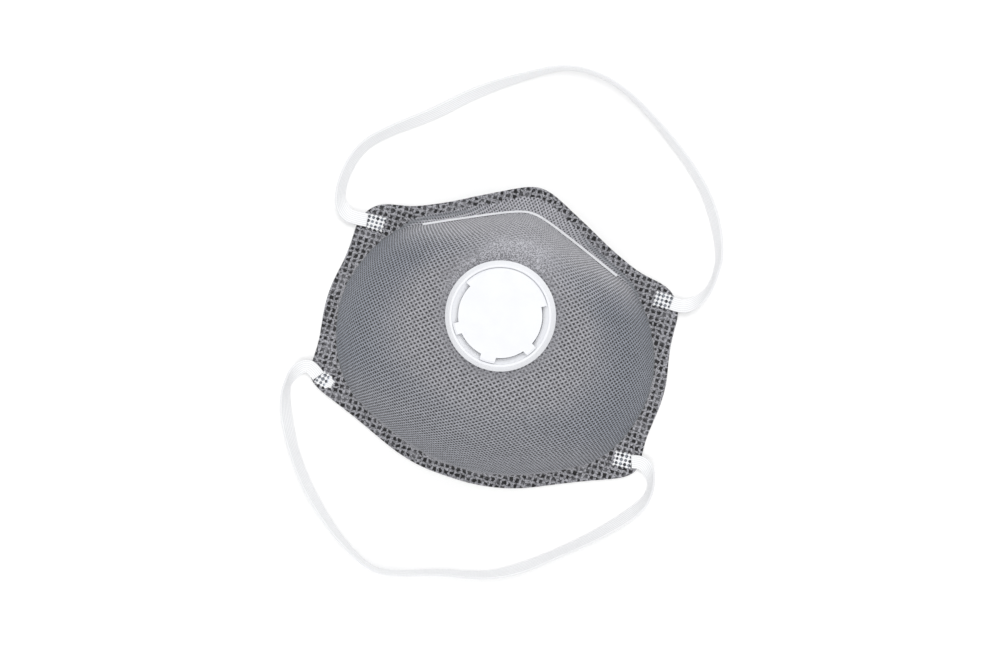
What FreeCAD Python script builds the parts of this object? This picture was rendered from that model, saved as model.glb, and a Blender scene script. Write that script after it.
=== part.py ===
import FreeCAD, Part
import math
import os
import Sketcher
from FreeCAD import Placement, Rotation, Vector

# Cup-shaped disposable dust mask with an exhalation valve, in millimetres.
# It lies on its flange with the cup up: +Z out of the valve, +Y towards the nose, +X sideways.
# The origin is at the middle of the flange's underside.

doc = FreeCAD.newDocument("dust_mask")
sheet = doc.addObject("Spreadsheet::Sheet", "Sizes")

SIZES = {
    # cup and its layers, from the face side outwards
    "cup_height": 44.0,
    "liner_thickness": 0.35,
    "shell_thickness": 0.80,
    "filter_thickness": 0.35,
    "carbon_thickness": 0.60,
    "cover_thickness": 0.40,
    "layer_gap": 0.10,
    "weld_press": 0.40,
    "plateau_radius": 22.3,
    "valve_hole_radius": 14.8,
    "valve_centre": 6.9,
    # nose clip and foam
    "clip_width": 4.6,
    "clip_thickness": 0.7,
    "clip_half_span": 36.9,
    "clip_centre": -1.0,
    "clip_apex": 46.2,
    "clip_slope": 24.0,
    "clip_apex_radius": 12.0,
    "clip_skew": 1.3,
    "clip_lean": 5.0,
    "clip_level": 6.4,
    "clip_standoff": 0.36,
    "wire_width": 0.60,
    "wire_thickness": 0.36,
    "wire_spacing": 2.8,
    "wire_clearance": 0.03,
    "wire_end_margin": 1.5,
    "foam_thickness": 3.5,
    "foam_clearance": 0.30,
    # valve body: ring, seat and the tube through the fabric
    "tube_radius": 14.6,
    "tube_bore": 13.2,
    "tube_lip": 0.5,
    "body_radius": 19.1,
    "body_rim_height": 1.1,
    "ring_top_radius": 17.4,
    "ring_bore": 16.7,
    "ring_height": 3.9,
    "ring_step_height": 3.5,
    "shelf_radius": 14.6,
    "shelf_height": 2.9,
    "floor_height": 0.4,
    "floor_drop": 0.8,
    "floor_radius": 14.3,
    "seat_bore": 11.6,
    "seat_inner_radius": 12.0,
    "seat_outer_radius": 12.5,
    "seat_foot_radius": 12.9,
    "seat_height": 1.0,
    "hub_radius": 2.4,
    "spoke_width": 1.5,
    "spoke_count": 4,
    "clamp_ring_radius": 18.4,
    "clamp_ring_height": 1.4,
    "clamp_ring_chamfer": 0.5,
    "clamp_ring_clearance": 0.06,
    # valve cap
    "cap_height": 5.0,
    "cap_thickness": 0.9,
    "cap_radius": 14.4,
    "cap_skirt_radius": 16.4,
    "cap_skirt_bore": 15.3,
    "cap_skirt_foot": 3.6,
    "cap_round": 0.7,
    "cap_open_angle": 237.0,
    "cap_front_tab_width": 5.3,
    "cap_side_tab_width": 4.0,
    "cap_side_tab_angle": 57.5,
    "cap_brow_start": 10.3,
    "cap_brow_angle": 3.0,
    # diaphragm
    "diaphragm_radius": 13.4,
    "diaphragm_thickness": 0.4,
    "diaphragm_lift": 0.05,
    "hinge_offset": 9.1,
    "hinge_gap": 0.10,
    "clamp_bar_half_length": 8.6,
    "clamp_bar_start": 9.4,
    "clamp_bar_depth": 1.6,
    "clamp_bar_clearance": 0.04,
    # headbands and their welds
    "band_width": 5.0,
    "band_thickness": 0.9,
    "band_foot": 0.05,
    "band_round_share": 0.45,
    "weld_length": 6.6,
    "weld_width": 5.2,
    "weld_thickness": 0.45,
    "weld_lift": 0.03,
    "tail_length": 3.8,
    "tail_thickness": 0.8,
    # stack of the six webs, its welded height, and the valve tube's length under the fabric
    "fabric_stack": "=liner_thickness + shell_thickness + 2 * filter_thickness"
                    " + carbon_thickness + cover_thickness + 5 * layer_gap",
    "flange_top": "=fabric_stack * weld_press",
    "tube_depth": "=fabric_stack + clamp_ring_height + tube_lip",
}
for row, (alias, content) in enumerate(SIZES.items(), start=1):
    sheet.set(f"A{row}", alias)
    sheet.setAlias(f"B{row}", alias)
    sheet.set(f"B{row}", str(content))
doc.recompute()


def size(alias):
    """One driving size, as the sheet holds it."""
    return float(sheet.get(alias))


# ------------------------------------------------------------------ shape of the cup

# Right half of the flange from the chin to the nose: a point of the outer edge and the point
# of the cup wall's foot beside it.
HALF_STATIONS = [
    ((0.0, -56.3), (0.0, -52.2)),
    ((12.0, -55.6), (11.0, -51.3)),
    ((23.5, -52.9), (21.5, -48.7)),
    ((34.0, -48.6), (30.4, -45.4)),
    ((44.0, -44.3), (38.0, -41.8)),
    ((53.0, -40.8), (44.3, -38.0)),
    ((60.0, -37.6), (49.0, -34.0)),
    ((63.3, -33.8), (52.3, -29.8)),
    ((63.7, -28.0), (55.0, -25.0)),
    ((63.6, -21.0), (57.6, -19.3)),
    ((64.5, -13.0), (59.4, -12.8)),
    ((65.05, -5.5), (60.2, -6.3)),
    ((64.5, 2.0), (59.9, 0.4)),
    ((62.9, 10.5), (58.4, 7.0)),
    ((62.2, 18.5), (56.6, 12.0)),
    ((61.8, 25.4), (54.4, 16.4)),
    ((59.4, 30.6), (51.9, 20.2)),
    ((55.5, 33.8), (49.2, 23.6)),
    ((50.5, 35.3), (46.2, 27.2)),
    ((44.5, 36.5), (42.2, 31.2)),
    ((38.0, 38.9), (36.4, 34.9)),
    ((30.0, 42.6), (28.3, 38.7)),
    ((22.0, 46.9), (20.3, 42.8)),
    ((14.0, 51.0), (12.6, 46.9)),
    ((6.5, 54.7), (5.8, 50.6)),
    ((0.0, 56.3), (0.0, 51.9)),
]

# How much of the nose profile, against the plain dome, each of those stations has.
NOSE_SHARES = [0.0] * 17 + [0.15, 0.5, 0.9] + [1.0] * 6

# Wall of the plain dome: share of the way from the plateau to the foot, share of the height.
DOME_PROFILE = [(0.20, 0.975), (0.38, 0.88), (0.56, 0.71), (0.73, 0.50), (0.87, 0.27), (0.97, 0.07)]
# Wall at the nose above the clip's step, measured from the plateau to the step.
NOSE_SLOPE = [(0.35, 0.90), (0.68, 0.66), (0.91, 0.37)]
STEP_FOOT_REACH = 2.4
STEP_HALF_RUN = 0.1
STEP_HALF_RISE = 3.1
APRON_SHARE = 0.42
APRON_RISE = 0.8
LANDING_REACH = 1.2
PLATEAU_SHARES = [0.0, 0.36, 0.70, 1.0]
DOME_FOOT_PRESS = 0.75
APRON_PRESS = 0.5
LINE_TOLERANCE = 1e-9

flange_top = size("flange_top")
valve_axis = Vector(0, size("valve_centre"), 0)


def both_sides(half, flip):
    """The right half's entries followed by the left half's, back to the chin."""
    return half + [flip(entry) for entry in reversed(half[1:-1])]


stations = both_sides(
    HALF_STATIONS, lambda entry: ((-entry[0][0], entry[0][1]), (-entry[1][0], entry[1][1])))
nose_shares = both_sides(NOSE_SHARES, lambda share: share)


def clip_line(x):
    """Y of the nose clip's middle line: two straight legs that meet in a round apex, set askew."""
    slope = math.tan(math.radians(size("clip_slope")))
    skew = math.tan(math.radians(size("clip_skew")))
    rounding = size("clip_apex_radius") * slope ** 2
    along_leg = x - size("clip_centre")
    return size("clip_apex") + rounding - math.hypot(rounding, slope * along_leg) + skew * x


def reach_of_clip_line(direction):
    """Distance from the valve axis to the nose clip's line, in one direction."""
    near = size("plateau_radius")
    far = 2 * size("clip_apex")
    while far - near > LINE_TOLERANCE:
        middle = (near + far) / 2
        point = valve_axis + direction * middle
        if point.y < clip_line(point.x):
            near = middle
        else:
            far = middle
    return near


def wall_profile(direction, foot_reach, nose_share):
    """Distance from the valve axis and height of the wall's rings, plateau to foot."""
    plateau = size("plateau_radius")
    rise = size("cup_height") - flange_top
    dome = [(plateau + share * (foot_reach - plateau), flange_top + level * rise)
            for share, level in DOME_PROFILE]
    if nose_share == 0:
        return dome
    behind_clip = size("clip_thickness") / 2 + size("clip_standoff")
    step = min(reach_of_clip_line(direction) - behind_clip, foot_reach - STEP_FOOT_REACH)
    level = size("clip_level")
    nose = [(plateau + share * (step - plateau), flange_top + height * rise)
            for share, height in NOSE_SLOPE]
    nose.append((step - STEP_HALF_RUN, level + STEP_HALF_RISE))
    nose.append((step + STEP_HALF_RUN, level - STEP_HALF_RISE))
    nose.append((step + APRON_SHARE * (foot_reach - step), flange_top + APRON_RISE))
    return [(nose_share * a + (1 - nose_share) * c, nose_share * b + (1 - nose_share) * e)
            for (a, b), (c, e) in zip(nose, dome)]


def station_rings(edge, foot, nose_share):
    """Points of the outer face at one station and the way its layers stack there."""
    foot_point = Vector(foot[0], foot[1], 0)
    ray = foot_point - valve_axis
    foot_reach = ray.Length
    direction = ray.normalize()
    hole = size("valve_hole_radius")
    plateau = size("plateau_radius")
    profile = [(hole + share * (plateau - hole), size("cup_height")) for share in PLATEAU_SHARES]
    profile += wall_profile(direction, foot_reach, nose_share)
    profile.append((foot_reach, flange_top))
    points = [valve_axis + direction * reach + Vector(0, 0, level) for reach, level in profile]
    normals = []
    for index in range(len(profile)):
        before = profile[max(index - 1, 0)]
        after = profile[min(index + 1, len(profile) - 1)]
        run = after[0] - before[0]
        rise = after[1] - before[1]
        normal = direction * -rise + Vector(0, 0, run)
        normals.append(normal.normalize())
    normals[len(PLATEAU_SHARES) - 1] = Vector(0, 0, 1)
    normals[-2] *= nose_share * APRON_PRESS + (1 - nose_share) * DOME_FOOT_PRESS
    normals[-1] = Vector(0, 0, size("weld_press"))
    outward = (Vector(edge[0], edge[1], 0) - foot_point).normalize()
    landing = foot_point + outward * LANDING_REACH
    points.append(landing + Vector(0, 0, flange_top))
    normals.append(normals[-1])
    return points, normals


grid = [station_rings(edge, foot, share) for (edge, foot), share in zip(stations, nose_shares)]
ring_count = len(grid[0][0])

station_parameters = [0.0]
for index, (edge, _) in enumerate(stations):
    next_edge = stations[(index + 1) % len(stations)][0]
    spacing = math.dist(edge, next_edge)
    station_parameters.append(station_parameters[-1] + math.sqrt(spacing))


def closed_curve(points):
    """Smooth closed curve through one point per station."""
    curve = Part.BSplineCurve()
    curve.interpolate(Points=points, PeriodicFlag=True, Parameters=station_parameters)
    return curve


def cup_surface(depth):
    """Face of the cup at one depth under its outer face, from the valve hole to the flange."""
    rings = []
    for ring in range(ring_count):
        points = [places[ring] - stacking[ring] * depth for places, stacking in grid]
        rings.append(closed_curve(points))
    poles = [list(column) for column in zip(*(ring.getPoles() for ring in rings))]
    spans = ring_count - 3
    surface = Part.BSplineSurface()
    surface.buildFromPolesMultsKnots(
        poles, rings[0].getMultiplicities(), [4] + [1] * (spans - 1) + [4],
        rings[0].getKnots(), list(range(spans + 1)), True, False, 3, 3)
    return surface


def solid_of(faces):
    """Closed solid from faces that share their borders."""
    shell = Part.Shell(faces)
    shell.sewShape()
    if shell.ShapeType != "Shell":
        shell = shell.Shells[0]
    solid = Part.Solid(shell)
    if solid.Volume < 0:
        solid.reverse()
    return solid


def web_solid(outer_depth, thickness):
    """One layer: cup and flat flange, between two depths under the outer face."""
    depths = (outer_depth, outer_depth + thickness)
    last = float(ring_count - 3)
    faces = []
    borders = []
    for depth in depths:
        surface = cup_surface(depth)
        level = flange_top - depth * size("weld_press")
        hole = surface.vIso(0.0).toShape()
        landing = surface.vIso(last).toShape()
        rim = closed_curve([Vector(edge[0], edge[1], level) for edge, _ in stations]).toShape()
        faces.append(surface.toShape())
        faces.append(Part.makeFace([Part.Wire([rim]), Part.Wire([landing])],
                                   "Part::FaceMakerBullseye"))
        borders.append((hole, rim))
    for upper, lower in zip(*borders):
        faces.append(Part.makeRuledSurface(upper, lower))
    return solid_of(faces)


STRIP_SECTIONS = 13
TANGENT_STEP = 0.01


def strip_solid(half_width, near, far, half_span, offset=0.0):
    """Bar along the nose clip's line: its section is a rectangle that leans towards the cup."""
    lean = math.radians(size("clip_lean"))
    corners = [[], [], [], []]
    for index in range(STRIP_SECTIONS):
        x = size("clip_centre") + half_span * (2 * index / (STRIP_SECTIONS - 1) - 1)
        rise = clip_line(x + TANGENT_STEP) - clip_line(x - TANGENT_STEP)
        ahead = Vector(2 * TANGENT_STEP, rise, 0).normalize()
        outward = Vector(-ahead.y, ahead.x, 0)
        up = Vector(0, 0, math.cos(lean)) - outward * math.sin(lean)
        out = outward * math.cos(lean) + Vector(0, 0, math.sin(lean))
        middle = Vector(x, clip_line(x), size("clip_level")) + up * offset
        for corner, (a, b) in enumerate([(-1, near), (-1, far), (1, far), (1, near)]):
            corners[corner].append(middle + up * (a * half_width) + out * b)
    edges = []
    for points in corners:
        curve = Part.BSplineCurve()
        curve.interpolate(Points=points)
        edges.append(curve.toShape())
    faces = [Part.makeRuledSurface(edges[i], edges[(i + 1) % 4]) for i in range(4)]
    for end in (0, -1):
        faces.append(Part.Face(Part.makePolygon([points[end] for points in corners]
                                                + [corners[0][end]])))
    return solid_of(faces)


def cup_patch(near_depth, far_depth, half_stations, low_ring, high_ring):
    """Pad that follows the inside of the cup around the nose."""
    nose = len(HALF_STATIONS) - 1
    around = (station_parameters[nose - half_stations], station_parameters[nose + half_stations])
    sides = []
    for depth in (near_depth, far_depth):
        surface = cup_surface(depth)
        surface.segment(around[0], around[1], low_ring, high_ring)
        sides.append(surface)
    faces = [surface.toShape() for surface in sides]
    for name, value in (("uIso", around[0]), ("vIso", high_ring),
                        ("uIso", around[1]), ("vIso", low_ring)):
        edges = [getattr(surface, name)(value).toShape() for surface in sides]
        faces.append(Part.makeRuledSurface(edges[0], edges[1]))
    return solid_of(faces)


# ------------------------------------------------------------------ document helpers

pieces = {}


def keep(node, piece):
    """Name a finished sub-part and list it for export."""
    piece.Label = node
    pieces[node] = piece
    return piece


def add_shape(node, shape):
    """Sub-part whose shape comes from the functions above."""
    piece = doc.addObject("Part::Feature", node)
    piece.Shape = shape
    piece.Placement = Placement()
    return keep(node, piece)


def add(kind, name, **formulas):
    """Part primitive whose properties are bound to the sheet."""
    piece = doc.addObject(kind, name)
    for property_name, formula in formulas.items():
        piece.setExpression(property_name, formula)
    return piece


def cut(name, base, tool):
    piece = doc.addObject("Part::Cut", name)
    piece.Base = base
    piece.Tool = tool
    return piece


def fuse(name, *shapes):
    piece = doc.addObject("Part::MultiFuse", name)
    piece.Shapes = list(shapes)
    return piece


def common(name, *shapes):
    piece = doc.addObject("Part::MultiCommon", name)
    piece.Shapes = list(shapes)
    return piece


def place(piece, **formulas):
    """Bind a piece's position to the sheet, axis by axis."""
    for axis, formula in formulas.items():
        piece.setExpression(f"Placement.Base.{axis}", formula)


def origin_plane(body, role):
    return next(item for item in body.Origin.OriginFeatures if item.Role == role)


def polygon_sketch(body, name, role, corners):
    """Closed outline whose corner coordinates are formulas on the sheet."""
    sketch = body.newObject("Sketcher::SketchObject", name)
    sketch.AttachmentSupport = (origin_plane(body, role), [""])
    sketch.MapMode = "FlatFace"
    points = [Vector(*(float(sketch.evalExpression(formula)) for formula in corner), 0)
              for corner in corners]
    count = len(points)
    for index in range(count):
        sketch.addGeometry(Part.LineSegment(points[index], points[(index + 1) % count]))
    for index in range(count):
        sketch.addConstraint(
            Sketcher.Constraint("Coincident", index, 2, (index + 1) % count, 1))
    for index, corner in enumerate(corners):
        for kind, value, formula in zip(("DistanceX", "DistanceY"), points[index], corner):
            made = sketch.addConstraint(Sketcher.Constraint(kind, -1, 1, index, 1, value))
            sketch.setExpression(f"Constraints[{made}]", formula)
    return sketch


def turned(body, sketch, name):
    """Solid of revolution about the sketch's vertical axis."""
    turn = body.newObject("PartDesign::Revolution", name)
    turn.Profile = sketch
    turn.ReferenceAxis = (sketch, ["V_Axis"])
    turn.Angle = 360.0
    sketch.Visibility = False
    return turn


# ------------------------------------------------------------------ layers of the cup

layers = [
    ("outer_cover_web", "cover_thickness"),
    ("carbon_web", "carbon_thickness"),
    ("filter_web_outer", "filter_thickness"),
    ("filter_web_inner", "filter_thickness"),
    ("support_shell", "shell_thickness"),
    ("inner_liner", "liner_thickness"),
]
layer_depth = 0.0
for node, alias in layers:
    add_shape(node, web_solid(layer_depth, size(alias)))
    layer_depth += size(alias) + size("layer_gap")

# ------------------------------------------------------------------ nose clip and foam

half_clip = size("clip_width") / 2
half_thick = size("clip_thickness") / 2
half_wire = size("wire_width") / 2
half_wire_thick = size("wire_thickness") / 2
wire_span = size("clip_half_span") - size("wire_end_margin")
clearance = size("wire_clearance")
clip_blank = strip_solid(half_clip, -half_thick, half_thick, size("clip_half_span"))
wires = []
for side in (-1, 1):
    offset = side * size("wire_spacing") / 2
    channel = strip_solid(
        half_wire + clearance, -half_wire_thick - clearance, half_wire_thick + clearance,
        wire_span + clearance, offset)
    clip_blank = clip_blank.cut(channel)
    wires.append(strip_solid(half_wire, -half_wire_thick, half_wire_thick, wire_span, offset))
add_shape("nose_clip_strip", clip_blank)
add_shape("nose_clip_wires", Part.makeCompound(wires))

FOAM_HALF_STATIONS = 5
FOAM_LOW_RING = 5.1
FOAM_HIGH_RING = 6.7
foam_depth = size("fabric_stack") + size("foam_clearance")
add_shape("nose_foam", cup_patch(
    foam_depth, foam_depth + size("foam_thickness"), FOAM_HALF_STATIONS,
    FOAM_LOW_RING, FOAM_HIGH_RING))

# ------------------------------------------------------------------ exhalation valve

# The valve's own heights start at the end of its tube, inside the cup.
BASE = "Sizes.tube_depth * 1 mm"
FLOOR_UNDERSIDE = "(Sizes.tube_depth - Sizes.floor_drop) * 1 mm"


def up(alias):
    """Height of a valve feature above the fabric, counted from the end of the tube."""
    return f"{BASE} + Sizes.{alias} * 1 mm"


def along(alias):
    return f"Sizes.{alias} * 1 mm"


def place_on_cup(piece):
    """Put a piece of the valve in the hole at the top of the cup."""
    place(piece, y=along("valve_centre"), z="(Sizes.cup_height - Sizes.tube_depth) * 1 mm")


valve_body = doc.addObject("PartDesign::Body", "valve_body")
body_section = polygon_sketch(valve_body, "valve_body_section", "XZ_Plane", [
    (along("tube_bore"), "0 mm"),
    (along("tube_radius"), "0 mm"),
    (along("tube_radius"), BASE),
    (along("body_radius"), BASE),
    (along("body_radius"), up("body_rim_height")),
    (along("ring_top_radius"), up("ring_height")),
    (along("ring_bore"), up("ring_height")),
    (along("ring_bore"), up("ring_step_height")),
    (along("shelf_radius"), up("shelf_height")),
    (along("floor_radius"), up("floor_height")),
    (along("seat_foot_radius"), up("floor_height")),
    (along("seat_outer_radius"), up("seat_height")),
    (along("seat_inner_radius"), up("seat_height")),
    (along("seat_bore"), up("floor_height")),
    (along("seat_bore"), FLOOR_UNDERSIDE),
    (along("tube_bore"), FLOOR_UNDERSIDE),
])
turned(valve_body, body_section, "valve_body_ring")
doc.recompute()

hub_sketch = valve_body.newObject("Sketcher::SketchObject", "hub_outline")
hub_sketch.AttachmentSupport = (origin_plane(valve_body, "XY_Plane"), [""])
hub_sketch.MapMode = "FlatFace"
hub_sketch.setExpression("AttachmentOffset.Base.z", FLOOR_UNDERSIDE)
hub_sketch.addGeometry(
    Part.Circle(Vector(0, 0, 0), Vector(0, 0, 1), size("hub_radius")))
hub_sketch.addConstraint(Sketcher.Constraint("Coincident", 0, 3, -1, 1))
hub_round = hub_sketch.addConstraint(Sketcher.Constraint("Radius", 0, size("hub_radius")))
hub_sketch.setExpression(f"Constraints[{hub_round}]", along("hub_radius"))
hub = valve_body.newObject("PartDesign::Pad", "hub")
hub.Profile = hub_sketch
hub.setExpression("Length", "(Sizes.floor_drop + Sizes.floor_height) * 1 mm")
doc.recompute()

spoke_sketch = polygon_sketch(valve_body, "spoke_outline", "XY_Plane", [
    ("0 mm", "-Sizes.spoke_width / 2 * 1 mm"),
    (along("seat_inner_radius"), "-Sizes.spoke_width / 2 * 1 mm"),
    (along("seat_inner_radius"), "Sizes.spoke_width / 2 * 1 mm"),
    ("0 mm", "Sizes.spoke_width / 2 * 1 mm"),
])
spoke_sketch.setExpression("AttachmentOffset.Base.z", FLOOR_UNDERSIDE)
spoke = valve_body.newObject("PartDesign::Pad", "spoke")
spoke.Profile = spoke_sketch
spoke.setExpression("Length", "(Sizes.floor_drop + Sizes.floor_height) * 1 mm")
doc.recompute()
spokes = valve_body.newObject("PartDesign::PolarPattern", "spokes")
spokes.Originals = [spoke]
spokes.Axis = (spoke_sketch, ["N_Axis"])
spokes.Angle = 360.0
spokes.setExpression("Occurrences", "Sizes.spoke_count")
valve_body.Tip = spokes
place_on_cup(valve_body)
keep("valve_body", valve_body)

clamp_ring = doc.addObject("PartDesign::Body", "valve_clamp_ring")
clamp_section = polygon_sketch(clamp_ring, "clamp_ring_section", "XZ_Plane", [
    ("(Sizes.tube_radius + Sizes.clamp_ring_clearance) * 1 mm", along("tube_lip")),
    ("(Sizes.clamp_ring_radius - Sizes.clamp_ring_chamfer) * 1 mm", along("tube_lip")),
    (along("clamp_ring_radius"), "(Sizes.tube_lip + Sizes.clamp_ring_chamfer) * 1 mm"),
    (along("clamp_ring_radius"), "(Sizes.tube_lip + Sizes.clamp_ring_height) * 1 mm"),
    ("(Sizes.tube_radius + Sizes.clamp_ring_clearance) * 1 mm",
     "(Sizes.tube_lip + Sizes.clamp_ring_height) * 1 mm"),
])
turned(clamp_ring, clamp_section, "clamp_ring_turn")
place_on_cup(clamp_ring)
keep("valve_clamp_ring", clamp_ring)

# Cap: a shallow lidded cup, with windows cut in its edge that leave three tabs and a closed brow.
cap_blank = doc.addObject("PartDesign::Body", "cap_blank")
cap_section = polygon_sketch(cap_blank, "cap_section", "XZ_Plane", [
    ("0 mm", f"{up('cap_height')} - Sizes.cap_thickness * 1 mm"),
    (along("cap_skirt_bore"), f"{up('cap_height')} - Sizes.cap_thickness * 1 mm"),
    (along("cap_skirt_bore"), up("cap_skirt_foot")),
    (along("cap_skirt_radius"), up("cap_skirt_foot")),
    (along("cap_skirt_radius"), f"{up('cap_height')} - Sizes.cap_round * 1 mm"),
    ("(Sizes.cap_skirt_radius - Sizes.cap_round) * 1 mm", up("cap_height")),
    ("0 mm", up("cap_height")),
])
turned(cap_blank, cap_section, "cap_turn")

window_outer = add("Part::Cylinder", "window_outer", Radius="(Sizes.cap_skirt_radius + 1) * 1 mm",
                   Height=f"{up('cap_height')} + 1 mm", Angle="Sizes.cap_open_angle * 1 deg")
window_outer.Placement.Rotation = Rotation(
    Vector(0, 0, 1), 270 - size("cap_open_angle") / 2)
window_core = add("Part::Cylinder", "window_core", Radius=along("cap_radius"),
                  Height=f"{up('cap_height')} + 1 mm")
window_ring = cut("window_ring", window_outer, window_core)
tab_boxes = []
for name, alias, angle in (
        ("front_tab", "cap_front_tab_width", 0.0),
        ("left_tab", "cap_side_tab_width", -size("cap_side_tab_angle")),
        ("right_tab", "cap_side_tab_width", size("cap_side_tab_angle"))):
    tab = add("Part::Box", name, Length="(Sizes.cap_skirt_radius + 2) * 1 mm",
              Width=along(alias), Height=f"{up('cap_height')} + 2 mm")
    half = Vector(0, -size(alias) / 2, -1)
    turn = Rotation(Vector(0, 0, 1), angle - 90)
    tab.Placement = Placement(turn.multVec(half), turn)
    tab_boxes.append(tab)
windows = cut("windows", window_ring, fuse("tabs", *tab_boxes))
brow_slope = add("Part::Box", "brow_slope", Length="4 * Sizes.cap_skirt_radius * 1 mm",
                 Width=along("cap_skirt_radius"), Height=along("cap_height"))
brow_slope.Placement.Rotation = Rotation(Vector(1, 0, 0), -size("cap_brow_angle"))
place(brow_slope, x="-2 * Sizes.cap_skirt_radius * 1 mm", y=along("cap_brow_start"),
      z=up("cap_height"))
clamp_bar = add("Part::Box", "clamp_bar", Length="2 * Sizes.clamp_bar_half_length * 1 mm",
                Width=along("clamp_bar_depth"),
                Height="(Sizes.cap_height - Sizes.cap_thickness / 2 - Sizes.seat_height"
                       " - Sizes.diaphragm_lift - Sizes.diaphragm_thickness"
                       " - Sizes.clamp_bar_clearance) * 1 mm")
place(clamp_bar, x="-Sizes.clamp_bar_half_length * 1 mm", y=along("clamp_bar_start"),
      z=f"{up('seat_height')} + (Sizes.diaphragm_lift + Sizes.diaphragm_thickness"
        " + Sizes.clamp_bar_clearance) * 1 mm")
cap_shell = cut("cap_shell", cut("cap_windows", cap_blank, windows), brow_slope)
valve_cap = fuse("valve_cap", cap_shell, clamp_bar)
place_on_cup(valve_cap)
keep("valve_cap", valve_cap)

# Diaphragm: one rubber disc, clamped beyond the hinge line and free to lift before it.
DIAPHRAGM_LEVEL = f"{up('seat_height')} + Sizes.diaphragm_lift * 1 mm"


def disc(name):
    made = add("Part::Cylinder", name, Radius=along("diaphragm_radius"),
               Height=along("diaphragm_thickness"))
    place(made, z=DIAPHRAGM_LEVEL)
    return made


def half_space(name, start):
    made = add("Part::Box", name, Length="2 * Sizes.diaphragm_radius * 1 mm",
               Width="2 * Sizes.diaphragm_radius * 1 mm", Height=along("cap_height"))
    place(made, x="-Sizes.diaphragm_radius * 1 mm", y=start, z=BASE)
    return made


diaphragm_root = common(
    "diaphragm_root", disc("root_disc"),
    half_space("root_side", "(Sizes.hinge_offset + Sizes.hinge_gap) * 1 mm"))
diaphragm_flap = common(
    "diaphragm_flap", disc("flap_disc"),
    half_space("flap_side", "(Sizes.hinge_offset - 2 * Sizes.diaphragm_radius) * 1 mm"))
for piece in (diaphragm_root, diaphragm_flap):
    place_on_cup(piece)
    keep(piece.Name, piece)

# ------------------------------------------------------------------ headbands

# Weld patches on the tabs: centre, and the way that the band leaves.
WELDS = {
    "strap_weld_upper_left": ((-55.6, 26.9), 180.0),
    "strap_weld_upper_right": ((55.2, 29.0), 0.0),
    "strap_weld_lower_left": ((-57.0, -34.7), 165.0),
    "strap_weld_lower_right": ((57.4, -31.8), 3.0),
}
band_ends = {}
for node, (centre, heading) in WELDS.items():
    patch = add("Part::Box", f"{node}_patch", Length=along("weld_length"),
                Width=along("weld_width"), Height=along("weld_thickness"))
    place(patch, x="-Sizes.weld_length / 2 * 1 mm", y="-Sizes.weld_width / 2 * 1 mm")
    tail = add("Part::Box", f"{node}_tail", Length=along("tail_length"),
               Width=along("band_width"), Height=along("tail_thickness"))
    place(tail, x="Sizes.weld_length / 2 * 1 mm", y="-Sizes.band_width / 2 * 1 mm")
    weld = fuse(node, patch, tail)
    turn = Rotation(Vector(0, 0, 1), heading)
    weld.Placement = Placement(Vector(*centre, flange_top + size("weld_lift")), turn)
    keep(node, weld)
    reach = Vector(size("weld_length") / 2 + size("tail_length"), 0, 0)
    band_ends[node] = Vector(*centre, 0) + turn.multVec(reach)

# Routes of the two bands as they lie beside the mask, from the left tab to the right one.
UPPER_ROUTE = [
    (-67.0, 26.9), (-71.2, 31.9), (-71.4, 42.5), (-68.0, 53.2), (-59.3, 61.6), (-46.0, 71.5),
    (-33.0, 84.0), (-18.0, 94.0), (-4.0, 102.2), (10.0, 102.8), (24.0, 98.0), (42.0, 86.3),
    (55.8, 75.3), (64.7, 64.0), (70.6, 51.0), (70.9, 40.0), (70.0, 33.6), (66.2, 29.0),
]
LOWER_ROUTE = [
    (-66.6, -32.1), (-69.8, -34.2), (-70.8, -38.8), (-70.2, -44.2), (-66.9, -53.0),
    (-61.0, -63.5), (-53.0, -74.0), (-44.0, -82.7), (-33.5, -91.0), (-20.3, -97.8),
    (-9.0, -95.6), (3.0, -91.2), (20.0, -88.0), (32.0, -81.8), (43.5, -72.4), (56.0, -61.5),
    (65.7, -52.2), (69.3, -45.0), (70.6, -40.5), (70.7, -36.6), (69.6, -33.2), (67.4, -31.3),
]


def rounded_path(points):
    """Straight runs joined by the largest tangent arcs, and the arcs' radii."""
    edges = []
    radii = []
    start = points[0]
    for before, corner, after in zip(points, points[1:], points[2:]):
        back = (before - corner)
        ahead = (after - corner)
        run = min(back.Length, ahead.Length)
        trim = size("band_round_share") * run
        back.normalize()
        ahead.normalize()
        half_turn = (math.pi - back.getAngle(ahead)) / 2
        radii.append(trim / math.tan(half_turn))
        first = corner + back * trim
        last = corner + ahead * trim
        inward = (back + ahead).normalize()
        bow = radii[-1] * (1 / math.cos(half_turn) - 1)
        edges.append(Part.LineSegment(start, first).toShape())
        edges.append(Part.Arc(first, corner + inward * bow, last).toShape())
        start = last
    edges.append(Part.LineSegment(start, points[-1]).toShape())
    return Part.Wire(edges), radii


def band_solid(path):
    """Band standing on edge along its path."""
    start = path.OrderedEdges[0]
    origin = start.valueAt(start.FirstParameter)
    ahead = start.tangentAt(start.FirstParameter)
    across = Vector(-ahead.y, ahead.x, 0) * (size("band_thickness") / 2)
    rise = Vector(0, 0, size("band_width") / 2)
    corners = [origin - across - rise, origin + across - rise,
               origin + across + rise, origin - across + rise]
    section = Part.Wire(Part.makePolygon(corners + [corners[0]]).Edges)
    return path.makePipeShell([section], True, False)


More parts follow.
